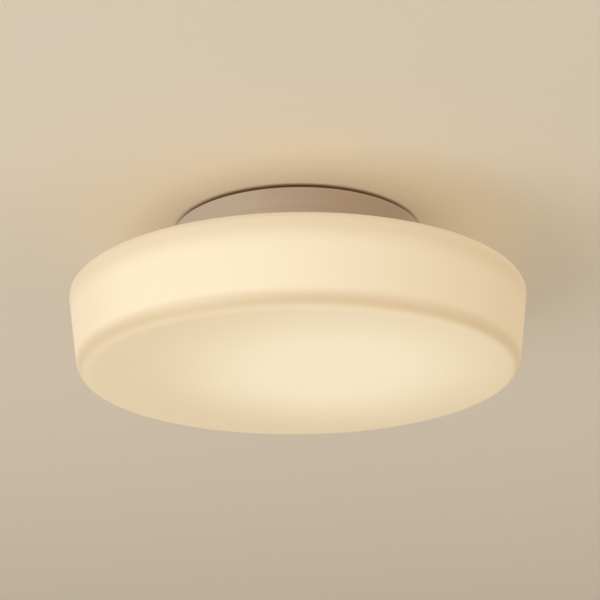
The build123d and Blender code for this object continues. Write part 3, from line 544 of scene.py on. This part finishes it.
# ---------------------------------------------------------------- operators
class BuildRoom(bpy.types.Operator):
    """Sets up the camera, the ceiling, the floor far below and the soft light"""

    bl_idname = "ceiling_light.room"
    bl_label = "Room, light and camera"
    bl_options = {"REGISTER", "UNDO"}

    def execute(self, context):
        colours = context.scene.ceiling_light_colours
        context.scene.view_settings.view_transform = "Standard"
        self.camera(context.scene)
        self.surface("ceiling", half=6.0, height=0.0005, rgb=colours.ceiling, overhead=True)
        self.surface("floor", half=60.0, height=-2.3, rgb=colours.floor, overhead=False)
        self.lamp("key_light", place=(-1.6, -1.4, -1.15), power=25.0, rgb=(0.98, 0.98, 1.0))
        self.lamp("fill_light", place=(1.8, -1.2, -0.95), power=8.8, rgb=(1.0, 0.86, 0.68))
        self.world(context.scene, colours)
        return {"FINISHED"}

    def camera(self, scene):
        """Below and in front of the light, looking up at it. The focal length is in pixels of a
        picture that is side pixels wide."""
        yaw, pitch, roll = 0.0013374, 0.3470896, -0.0105575
        place, focal, side, film = (0.0, -1.00115, -0.40962), 1605.23, 600.0, 36.0
        ahead = Vector((sin(yaw) * cos(pitch), cos(yaw) * cos(pitch), sin(pitch)))
        level = Vector((cos(yaw), -sin(yaw), 0.0))
        up = level.cross(ahead)
        right = level * cos(roll) + up * sin(roll)
        turn = Matrix((right, right.cross(ahead), -ahead)).transposed()
        data = bpy.data.cameras.new("camera")
        data.sensor_width = film
        data.lens = film * focal / side
        camera = bpy.data.objects.new("camera", data)
        camera.matrix_world = Matrix.Translation(place) @ turn.to_4x4()
        scene.collection.objects.link(camera)
        scene.camera = camera

    def surface(self, name, half, height, rgb, overhead):
        """A wide flat stage piece. One overhead shows from below only, lets light past and has a
        painted shadow on it over the canopy. The other looks the same to the camera in any light."""
        bm = bmesh.new()
        turn = Matrix.Rotation(pi, 4, "X") if overhead else Matrix.Identity(4)
        bmesh.ops.create_grid(bm, x_segments=1, y_segments=1, size=half, matrix=turn)
        bmesh.ops.translate(bm, vec=(0, 0, height), verts=bm.verts)
        piece = as_object(name, bm)
        finish = Finish(name, Roughness=0.9)
        paint = finish.noise(finish.place(), 3.0, 3.0) * 0.12
        shade = finish.blend(paint, tuple(rgb), tuple(0.9 * c for c in rgb))
        if overhead:
            # Painted shadow: the ceiling is painted dark over the canopy, so the gap above the
            # canopy's rim looks shaded
            x, y, _ = finish.parts(finish.place())
            plain_from, shadow_to = 0.0838, 0.0785
            gap_shadow = finish.step((x * x + y * y) ** 0.5, plain_from, shadow_to)
            shade = finish.blend(gap_shadow, shade, PAINTED_GAP_SHADOW)
            share = finish.node("ShaderNodeNewGeometry", out="Backfacing")
            instead = finish.node("ShaderNodeBsdfTransparent")
            piece.visible_shadow = False
            piece.visible_diffuse = False
            piece.visible_glossy = False
        else:
            share = finish.node("ShaderNodeLightPath", out="Is Camera Ray")
            instead = finish.node("ShaderNodeEmission", None, {"Color": shade, "Strength": 1.0})
        finish.give("Base Color", shade)
        values = {0: share, 1: Value(finish, finish.shader.outputs[0]), 2: instead}
        mixed = finish.node("ShaderNodeMixShader", None, values)
        finish.tree.links.new(mixed.socket, finish.output.inputs["Surface"])
        piece.data.materials.append(finish.material)

    def lamp(self, name, place, power, rgb):
        """A wide soft light that faces the middle of the object."""
        data = bpy.data.lights.new(name, "AREA")
        data.shape = "DISK"
        data.size = 2.4
        data.energy = power
        data.color = rgb
        light = bpy.data.objects.new(name, data)
        aim = Vector((0.0, 0.0, -0.06)) - Vector(place)
        turn = aim.to_track_quat("-Z", "Y").to_matrix().to_4x4()
        light.matrix_world = Matrix.Translation(place) @ turn
        light.visible_camera = False
        bpy.context.scene.collection.objects.link(light)

    def world(self, scene, colours):
        """Pale surroundings to look at, soft light from all sides, and a warm room in metal."""
        world = bpy.data.worlds.new("surroundings")
        scene.world = world
        world.use_nodes = True
        tree = world.node_tree
        tree.nodes.clear()
        output = tree.nodes.new("ShaderNodeOutputWorld")
        shown = tree.nodes.new("ShaderNodeBackground")
        tree.links.new(shown.outputs[0], output.inputs["Surface"])
        place = tree.nodes.new("ShaderNodeTexCoord")
        parts = tree.nodes.new("ShaderNodeSeparateXYZ")
        tree.links.new(place.outputs["Generated"], parts.inputs[0])
        side = tree.nodes.new("ShaderNodeMapRange")
        tree.links.new(parts.outputs["X"], side.inputs["Value"])
        side.inputs["From Min"].default_value = -1.0
        path = tree.nodes.new("ShaderNodeLightPath")
        room = self.mix(tree, side.outputs[0], tuple(colours.room_left), tuple(colours.room_right))
        light = self.mix(tree, path.outputs["Is Glossy Ray"], SOFT_LIGHT, room)
        seen = self.mix(tree, path.outputs["Is Camera Ray"], light, tuple(colours.surroundings))
        tree.links.new(seen, shown.inputs["Color"])

    def mix(self, tree, amount, low, high):
        """One colour turning into another. Each is a colour or a socket."""
        made = tree.nodes.new("ShaderNodeMix")
        made.data_type = "RGBA"
        tree.links.new(amount, made.inputs[0])
        for value, socket in ((low, made.inputs[6]), (high, made.inputs[7])):
            if isinstance(value, tuple):
                socket.default_value = (*value, 1.0)
            else:
                tree.links.new(value, socket)
        return made.outputs[2]


class BuildFinishes(bpy.types.Operator):
    """Makes every finish, and gives the CAD nodes theirs"""

    bl_idname = "ceiling_light.finishes"
    bl_label = "Finishes"
    bl_options = {"REGISTER", "UNDO"}

    def execute(self, context):
        FINISHES.update(make_finishes(context.scene.ceiling_light_colours))
        for part in frame["record"]["subparts"]:
            mesh = frame["nodes"][part["node"]].data
            mesh.materials.clear()
            mesh.materials.append(FINISHES[part["material_slot"]])
        return {"FINISHED"}


class BuildCanopy(bpy.types.Operator):
    """Builds the canopy: plate with raised pads and slots, bend, skirt and rolled lower edge"""

    bl_idname = "ceiling_light.canopy"
    bl_label = "Canopy"
    bl_options = {"REGISTER", "UNDO"}

    def execute(self, context):
        sizes = context.scene.ceiling_light_sizes
        bm = bmesh.new()
        outer, sheet, hem = sizes.pan_radius, sizes.pan_sheet, sizes.hem_radius
        top, edge, bend = -sizes.pan_top, -sizes.pan_edge, sizes.pan_bend
        inner = outer - sheet
        far = inner + 2 * hem
        line(bm, [
            (outer - bend, top, 0.0), (outer, top, bend), (outer, edge + hem, 0.1 * MM),
            (far, edge + hem, hem), (far, edge - hem, hem), (inner, edge - hem, hem),
            (inner, top - sheet, bend - sheet), (outer - bend, top - sheet, 0.0),
        ])
        turn_round(bm, sizes.steps)
        self.screw_openings(bm, sizes)
        upper = self.plate_side(bm, top, -top, 0.0, sizes)
        lower = self.plate_side(bm, top - sheet, -top, sheet, sizes)
        for above, below in zip(upper, lower):
            bmesh.ops.bridge_loops(bm, edges=above + below)
        bmesh.ops.recalc_face_normals(bm, faces=bm.faces)
        piece = add_piece("canopy_pan", bm, "satin_nickel", "canopy", ["canopy"], 40.0)
        weigh_normals(piece)
        return {"FINISHED"}

    def screw_openings(self, bm, sizes):
        """Openings in the skirt behind the bushes, one step of the skirt to each side."""
        reach = 2.8 * MM
        for height in (-sizes.screw_height - reach, -sizes.screw_height + reach):
            bmesh.ops.bisect_plane(
                bm, geom=bm.verts[:] + bm.edges[:] + bm.faces[:], dist=LEVEL,
                plane_co=(0, 0, height), plane_no=(0, 0, 1),
            )
        wide = 1.1 * sizes.pan_radius * sin(tau / sizes.steps)
        for angle in SCREWS.values():
            middle = radial(angle, sizes.pan_radius, sizes.screw_height)
            local = middle.inverted()
            faces = [
                f for f in bm.faces
                if all(
                    abs((local @ v.co).x) < wide and abs((local @ v.co).y) < 1.1 * reach
                    and abs((local @ v.co).z) < 2 * sizes.pan_sheet for v in f.verts
                )
            ]
            bmesh.ops.delete(bm, geom=faces, context="FACES")
            rims = [
                e for e in bm.edges
                if e.is_boundary and all((local @ v.co).length < 3 * reach for v in e.verts)
            ]
            bmesh.ops.bridge_loops(bm, edges=rims)

    def plate_side(self, bm, height, rise, cut, sizes):
        """One side of the plate, with its pads raised and its holes open. Returns the edges of
        its holes, so that their walls can be bridged."""
        rim = [
            e for e in bm.edges
            if e.is_boundary and all(abs(v.co.z - height) < NEAR for v in e.verts)
        ]
        slope = 2 * sizes.pad_slope
        outlines, holes = [], []
        for place in (-sizes.slot_place, sizes.slot_place):
            long, wide = sizes.pad_length - 2 * cut, sizes.pad_width - 2 * cut
            foot = slot_ring(bm, place, long, wide, height)
            crest = slot_ring(bm, place, long - slope, wide - slope, height + rise)
            bmesh.ops.bridge_loops(bm, edges=foot + crest)
            hole = slot_ring(bm, place, sizes.slot_length, sizes.slot_width, height + rise)
            bmesh.ops.triangle_fill(bm, use_beauty=True, edges=crest + hole)
            outlines += foot
            holes.append(hole)
        middle, radius = (sizes.plain_pad_place, 0.0), sizes.plain_pad_radius - cut
        foot = ring(bm, middle, radius, height)
        crest = ring(bm, middle, radius - sizes.pad_slope, height + rise)
        bmesh.ops.bridge_loops(bm, edges=foot + crest)
        bmesh.ops.triangle_fill(bm, use_beauty=True, edges=crest)
        cable = ring(bm, (0.0, 0.0), sizes.cable_hole, height, 48)
        bmesh.ops.triangle_fill(bm, use_beauty=True, edges=rim + outlines + foot + cable)
        return [*holes, cable]


class BuildGlass(bpy.types.Operator):
    """Builds the opal glass: lip, neck, shoulder, tapered wall and slightly crowned base"""

    bl_idname = "ceiling_light.glass"
    bl_label = "Opal glass"
    bl_options = {"REGISTER", "UNDO"}

    def execute(self, context):
        sizes = context.scene.ceiling_light_sizes
        bm = bmesh.new()
        outside, inside = self.face(sizes, 0.0), self.face(sizes, sizes.glass_wall)
        lip_top, under = -sizes.lip_top, -sizes.lip_top - sizes.lip_height
        inner_round, outer_round, mouth_round = 0.5 * MM, 1.2 * MM, 1.0 * MM
        lip = [
            (sizes.neck_radius, under, inner_round), (sizes.lip_radius, under, outer_round),
            (sizes.lip_radius, lip_top, outer_round),
            (sizes.neck_radius - sizes.glass_wall, lip_top, mouth_round),
        ]
        line(bm, outside + lip + inside[::-1])
        turn_round(bm, sizes.steps)
        piece = add_piece("diffuser_drum", bm, "opal_glass", "diffuser", ["diffuser_glass"])
        weigh_normals(piece)
        return {"FINISHED"}

    def face(self, sizes, inset):
        """Corners of the drum's face, drawn in by inset, from the base's middle to the neck."""
        tall = sizes.base_height - sizes.shoulder_height
        wall_slope = (sizes.shoulder_radius - sizes.base_radius) / tall
        reach = sizes.shoulder_radius - sizes.neck_radius
        cover_slope = (sizes.shoulder_height - sizes.neck_foot) / reach
        side = inset * sqrt(1 + wall_slope**2)
        cover = inset * sqrt(1 + cover_slope**2)
        drop = (cover + cover_slope * side) / (1 + cover_slope * wall_slope)
        edge = (sizes.shoulder_radius - side - wall_slope * drop, -sizes.shoulder_height - drop)
        foot = (sizes.base_radius - side + wall_slope * inset, -sizes.base_height + inset)
        throat = (sizes.neck_radius - inset, -sizes.neck_foot - cover + cover_slope * inset)
        count, throat_round = 12, 4.0 * MM
        crown = [
            (foot[0] * n / count, foot[1] - sizes.base_crown * (1 - (n / count) ** 2), 0.0)
            for n in range(count - 1)
        ]
        return [
            *crown, (*foot, sizes.base_round - inset), (*edge, sizes.shoulder_round - inset),
            (*throat, throat_round + inset),
        ]


class BuildThumbscrews(bpy.types.Operator):
    """Builds the three thumbscrews, each a soft tip, a threaded stud and a fluted head"""

    bl_idname = "ceiling_light.thumbscrews"
    bl_label = "Thumbscrews"
    bl_options = {"REGISTER", "UNDO"}

    def execute(self, context):
        sizes = context.scene.ceiling_light_sizes
        for letter, angle in SCREWS.items():
            # Name, mesh, distance of its inner end from the middle, finish, end of its body's name
            made = (
                ("tip", self.tip(), 77.0 * MM, "soft_tip", "_travel"),
                ("stud", self.stud(), 80.85 * MM, "nickel", ""),
                ("head", self.head(sizes), 87.8 * MM, "nickel", ""),
            )
            for part, bm, start, slot, moves in made:
                bm.transform(radial(angle, start, sizes.screw_height))
                node = f"thumbscrew_{part}_{letter}"
                add_piece(f"screw_{part}_{letter}", bm, slot, f"screw_{letter}{moves}", [node])
        return {"FINISHED"}

    def tip(self):
        """A rounded peg."""
        bm = bmesh.new()
        radius, long = 1.45 * MM, 3.8 * MM
        line(bm, [(0, 0, 0), (radius, 0, 0.5 * MM), (radius, long, 0.2 * MM), (0, long, 0)])
        turn_round(bm, 32)
        return bm

    def stud(self):
        """A plain core with a thread round it."""
        bm = bmesh.new()
        core, long = 1.74 * MM, 10.95 * MM
        line(bm, [(0, 0, 0), (core, 0, 0.3 * MM), (core, long, 0), (0, long, 0)])
        turn_round(bm, 32)
        coil(
            bm, core - 0.02 * MM, ridge=0.27 * MM, start=0.6 * MM, pitch=0.7 * MM, turns=13,
            per_turn=24, sides=6,
        )
        return bm

    def head(self, sizes):
        """Rings from the inner end to the outer one, with the flutes pressed into two of them."""
        bm = bmesh.new()
        radius, long = sizes.head_radius, sizes.head_thickness
        rim, cap, end = 0.5 * MM, radius - 2 * sizes.head_cap, long + sizes.head_cap
        eye, bevel, dish_edge, dish_floor, dish = 2.1 * MM, 0.25 * MM, 1.2 * MM, 1.5 * MM, 0.3 * MM
        dips = (0.0, 0.10 * MM, 0.42 * MM, 0.42 * MM, 0.10 * MM)
        rings = (
            (eye, 0.0, False), (radius - rim, 0.0, False), (radius, rim, True),
            (radius, long - rim, True), (radius - rim, long, False), (cap, long, False),
            (cap, end - bevel, False), (cap - bevel, end, False),
            (cap - dish_edge, end, False), (cap - dish_floor, end - dish, False),
        )
        loops = []
        for size, height, fluted in rings:
            count = len(dips) * sizes.head_flutes
            edges = ring(bm, (0.0, 0.0), size, height, count)
            if fluted:
                for n, vert in enumerate(bm.verts[-count:]):
                    vert.co.xy *= 1 - dips[n % len(dips)] / size
            loops.append(edges)
        for one, other in zip(loops, loops[1:]):
            join(bm, one, other)
        for end_loop in (loops[0], loops[-1]):
            bmesh.ops.edgeloop_fill(bm, edges=end_loop)
        bmesh.ops.recalc_face_normals(bm, faces=bm.faces)
        return bm


class BuildFittings(bpy.types.Operator):
    """Builds the threaded bushes in the skirt and the rubber grommet in the plate"""

    bl_idname = "ceiling_light.fittings"
    bl_label = "Bushes and grommet"
    bl_options = {"REGISTER", "UNDO"}

    def execute(self, context):
        sizes = context.scene.ceiling_light_sizes
        bm = bmesh.new()
        for angle in SCREWS.values():
            self.bush(bm, radial(angle, sizes.pan_radius, sizes.screw_height))
        add_piece("skirt_bushes", bm, "nickel", "canopy", ["clamp_bushes"])

        bm = bmesh.new()
        bore, tip, groove, top_edge, flange = 4.0 * MM, 5.0 * MM, 7.0 * MM, 8.5 * MM, 9.5 * MM
        top, plate_top, plate_under, end = -0.8 * MM, -2.0 * MM, -3.0 * MM, -6.0 * MM
        line(bm, [
            (bore, top, 0.3 * MM), (top_edge, top, 0.5 * MM), (flange, plate_top, 0.1 * MM),
            (groove, plate_top, 0.0), (groove, plate_under, 0.0),
            (flange, plate_under, 0.4 * MM), (tip, end, 0.4 * MM), (bore, end, 0.3 * MM),
        ], closed=True)
        turn_round(bm, 64)
        add_piece("rubber_grommet", bm, "black_rubber", "canopy", ["cable_grommet"])
        return {"FINISHED"}

    def bush(self, into, place):
        """A six-sided flange on the skirt, and a shank that is peened over inside it."""
        bm = bmesh.new()
        wide, thick, bore = 4.6 * MM / cos(pi / 6), 4.2 * MM, 2.05 * MM
        neck, inside, end = 3.0 * MM, -1.0 * MM, -1.4 * MM
        middle = (0.0, 0.0)
        under, face = ring(bm, middle, wide, 0.0, 6), ring(bm, middle, wide, thick, 6)
        bmesh.ops.bridge_loops(bm, edges=under + face)
        walls = [e for e in bm.edges if e not in under]
        bmesh.ops.bevel(
            bm, geom=walls, offset=0.35 * MM, offset_type="OFFSET", segments=2, profile=0.5,
            affect="EDGES", material=-1,
        )
        face = [e for e in bm.edges if e.is_boundary and e.verts[0].co.z > thick / 2]
        under = [e for e in bm.edges if e.is_boundary and e.verts[0].co.z < thick / 2]
        mouth = ring(bm, middle, bore, thick)
        bmesh.ops.triangle_fill(bm, use_beauty=True, edges=face + mouth)
        shank = ring(bm, middle, neck, 0.0)
        bmesh.ops.triangle_fill(bm, use_beauty=True, edges=under + shank)
        levels = (
            (neck, inside), (4.0 * MM, inside), (3.9 * MM, -1.3 * MM), (3.2 * MM, end), (bore, end),
        )
        for radius, height in levels:
            inner = ring(bm, middle, radius, height)
            join(bm, shank, inner)
            shank = inner
        join(bm, shank, mouth)
        bmesh.ops.recalc_face_normals(bm, faces=bm.faces)
        bm.transform(place)
        mesh = bpy.data.meshes.new("bush")
        bm.to_mesh(mesh)
        bm.free()
        into.from_mesh(mesh)
        bpy.data.meshes.remove(mesh)


class BuildLamp(bpy.types.Operator):
    """Builds the lamp's dome, housing and screw cap"""

    bl_idname = "ceiling_light.lamp"
    bl_label = "Lamp"
    bl_options = {"REGISTER", "UNDO"}

    def execute(self, context):
        sizes = context.scene.ceiling_light_sizes
        middle = sizes.bulb_length - sizes.bulb_radius
        start = middle - sizes.dome_back
        for made in (self.dome(sizes, middle), self.housing(sizes, start), self.cap(sizes)):
            name, node, slot, corners, closed = made
            bm = bmesh.new()
            line(bm, corners, closed)
            turn_round(bm, 96)
            if node == "bulb_screw_cap":
                coil(
                    bm, sizes.cap_radius, ridge=1.0 * MM, start=8.0 * MM, pitch=sizes.cap_pitch,
                    turns=3.75, per_turn=48, sides=12,
                )
            bm.transform(along_lamp(sizes))
            add_piece(name, bm, slot, "bulb", [node])
        return {"FINISHED"}

    def dome(self, sizes, middle):
        """Half a ball that goes on a little behind its middle, outside and then inside."""
        corners = []
        for radius in (sizes.bulb_radius, sizes.bulb_radius - sizes.bulb_wall):
            lean = asin(sizes.dome_back / radius)
            tangent = radius * tan(lean / 2)
            corners.append([
                (0.0, middle + radius, 0.0), (radius, middle + radius, radius),
                (radius, middle - tangent, radius),
                (radius * cos(lean), middle - sizes.dome_back, 0.0),
            ])
        return "lamp_dome", "bulb_dome", "white_plastic", corners[0] + corners[1][::-1], False

    def housing(self, sizes, start):
        """From its neck in the cap along its hollow flank to the dome, and back inside."""
        rim = sqrt(sizes.bulb_radius**2 - sizes.dome_back**2)
        neck, throat, end = 11.4 * MM, 9.6 * MM, 21.6 * MM
        cap_edge, floor, flank = 25.6 * MM, 27.4 * MM, 47.53 * MM
        corners = [
            (neck, end, 0.0), (neck, cap_edge, 0.0), (14.6 * MM, cap_edge, 0.4 * MM),
            (19.19 * MM, flank, 205.0 * MM), (rim, start, 0.3 * MM),
            (rim - 1.8 * MM, start, 0.0), (17.39 * MM, flank, 190.0 * MM),
            (12.8 * MM, floor, 0.0), (throat, floor, 0.0), (throat, end, 0.0),
        ]
        return "lamp_housing", "bulb_housing", "white_plastic", corners, True

    def cap(self, sizes):
        """A plain tube, which the thread is laid round."""
        outer, start, end = sizes.cap_radius, 6.0 * MM, 25.6 * MM
        inner = outer - 0.6 * MM
        corners = [
            (inner, start, 0.0), (outer, start, 0.3 * MM), (outer, end, 0.0), (inner, end, 0.0),
        ]
        return "lamp_cap", "bulb_screw_cap", "cap_nickel", corners, True


class BuildLeads(bpy.types.Operator):
    """Builds the leads from the terminal strip to the lampholder and the earth point"""

    bl_idname = "ceiling_light.leads"
    bl_label = "Leads"
    bl_options = {"REGISTER", "UNDO"}

    def execute(self, context):
        radius = context.scene.ceiling_light_sizes.lead_radius
        for name, (route, long) in LEADS.items():
            curve = bpy.data.curves.new(f"{name}_wire", "CURVE")
            curve.dimensions = "3D"
            curve.bevel_depth = radius
            curve.bevel_resolution = 6
            curve.resolution_u = 24
            curve.use_fill_caps = True
            spline = curve.splines.new("NURBS")
            spline.points.add(len(route) - 1)
            for point, place in zip(spline.points, route):
                point.co = (*(MM * number for number in place), 1.0)
            spline.order_u = 3
            spline.use_endpoint_u = True
            piece = bpy.data.objects.new(f"{name}_wire", curve)
            context.scene.collection.objects.link(piece)
            curve.materials.append(FINISHES[f"{name}_insulation"])
            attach(piece, "canopy")
            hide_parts(f"{name}_lead")
        return {"FINISHED"}


class BuildInnerParts(bpy.types.Operator):
    """Gives the small inner parts even shading and slightly broken edges, on a copy of each"""

    bl_idname = "ceiling_light.inner_parts"
    bl_label = "Inner parts"
    bl_options = {"REGISTER", "UNDO"}

    def execute(self, context):
        slots = {p["node"]: p["material_slot"] for p in frame["record"]["subparts"]}
        for body, nodes in frame["record"]["behaviour"]["bodies"].items():
            for node in nodes:
                if not frame["nodes"][node].hide_render:
                    bm = self.copy(frame["nodes"][node].data, EDGES.get(node, USUAL_EDGE) * MM)
                    add_piece(f"{node}_part", bm, slots[node], body, [node], 28.0)
        return {"FINISHED"}

    def copy(self, mesh, edge):
        """A merged copy, with its flat faces made whole and its sharp edges bevelled."""
        flat, sharp_from = radians(0.5), radians(35.0)
        bm = bmesh.new()
        bm.from_mesh(mesh)
        bmesh.ops.remove_doubles(bm, verts=bm.verts, dist=2 * NEAR)
        bmesh.ops.dissolve_limit(
            bm, angle_limit=flat, use_dissolve_boundaries=False, verts=bm.verts,
            edges=bm.edges, delimit=set(),
        )
        sharp = [
            e for e in bm.edges if len(e.link_faces) == 2 and e.calc_face_angle(0.0) > sharp_from
        ]
        if edge > 0.0:
            bmesh.ops.bevel(
                bm, geom=sharp, offset=edge, offset_type="OFFSET", segments=2, profile=0.5,
                affect="EDGES", material=-1, clamp_overlap=True,
            )
        bmesh.ops.dissolve_degenerate(bm, dist=NEAR, edges=bm.edges)
        return bm


STEPS = (
    BuildRoom, BuildFinishes, BuildLeads, BuildCanopy, BuildGlass, BuildThumbscrews, BuildFittings,
    BuildLamp, BuildInnerParts,
)


class CeilingLightPanel(bpy.types.Panel):
    """Lists the sizes, the colours and the steps"""

    bl_idname = "VIEW3D_PT_ceiling_light"
    bl_label = "Ceiling light"
    bl_space_type = "VIEW_3D"
    bl_region_type = "UI"
    bl_category = "Ceiling light"

    def draw(self, context):
        for group in (context.scene.ceiling_light_sizes, context.scene.ceiling_light_colours):
            column = self.layout.column(align=True)
            for name in group.__annotations__:
                column.prop(group, name)
        for step in STEPS:
            self.layout.operator(step.bl_idname)


CLASSES = (CeilingLightSizes, CeilingLightColours, *STEPS, CeilingLightPanel)


def register():
    """Adds the classes and their settings to Blender."""
    for made in CLASSES:
        bpy.utils.register_class(made)
    bpy.types.Scene.ceiling_light_sizes = PointerProperty(type=CeilingLightSizes)
    bpy.types.Scene.ceiling_light_colours = PointerProperty(type=CeilingLightColours)


def unregister():
    """Takes them out again."""
    del bpy.types.Scene.ceiling_light_colours
    del bpy.types.Scene.ceiling_light_sizes
    for made in reversed(CLASSES):
        bpy.utils.unregister_class(made)


def main():
    """Builds every piece."""
    register()
    bpy.ops.ceiling_light.room()
    bpy.ops.ceiling_light.finishes()
    bpy.ops.ceiling_light.leads()
    bpy.ops.ceiling_light.canopy()
    bpy.ops.ceiling_light.glass()
    bpy.ops.ceiling_light.thumbscrews()
    bpy.ops.ceiling_light.fittings()
    bpy.ops.ceiling_light.lamp()
    bpy.ops.ceiling_light.inner_parts()


if __name__ == "__main__":
    main()
